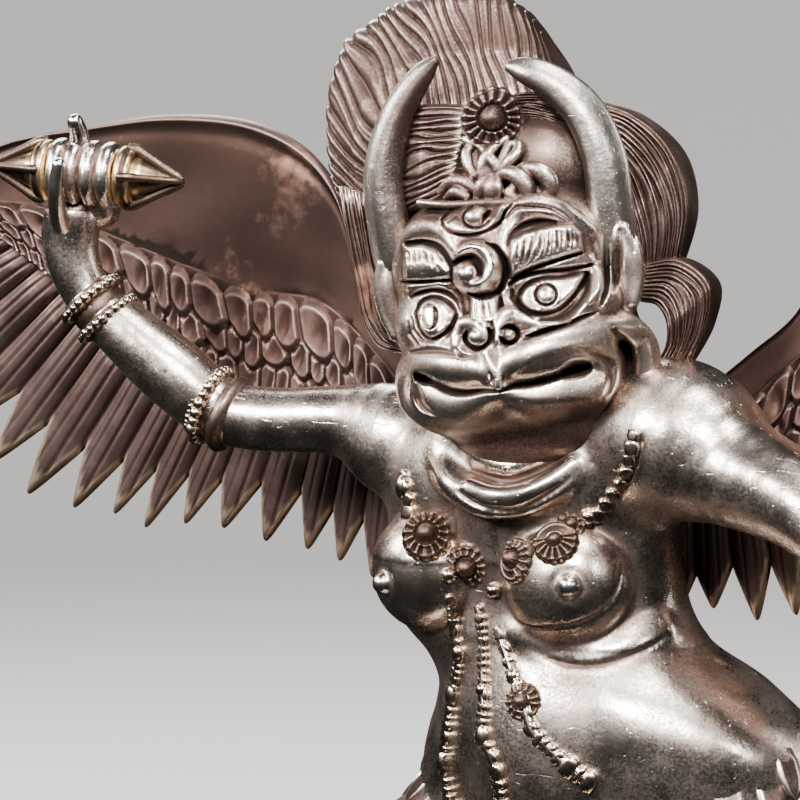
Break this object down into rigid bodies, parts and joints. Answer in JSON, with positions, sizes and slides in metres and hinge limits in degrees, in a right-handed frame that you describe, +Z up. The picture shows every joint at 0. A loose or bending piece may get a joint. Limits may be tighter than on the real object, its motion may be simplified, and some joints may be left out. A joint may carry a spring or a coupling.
{
  "type": "garuda figure",
  "caption": "Cast bronze garuda with curved horns, swept-up hair and spread feathered wings, a vajra in the raised right hand, standing on a low oval lotus plinth.",
  "frame": {"origin": "centre of the plinth's underside", "axes": "+Z up, the figure faces -Y, its left hand is on +X"},
  "size_m": [0.3402, 0.0795, 0.2787],
  "materials": {
    "silvered_bronze": "silver plate worn through to brown bronze in the hollows",
    "brown_bronze": "matt brown patina with rubbed feather edges",
    "brassy_bronze": "dark bronze with yellow rubbed rims",
    "plinth_bronze": "brown patina with rubbed petals"
  },
  "bodies": {
    "root": {"figure": "silvered_bronze", "wing_right": "brown_bronze", "wing_left": "brown_bronze", "vajra": "brassy_bronze", "plinth": "plinth_bronze"}
  },
  "joints": []
}
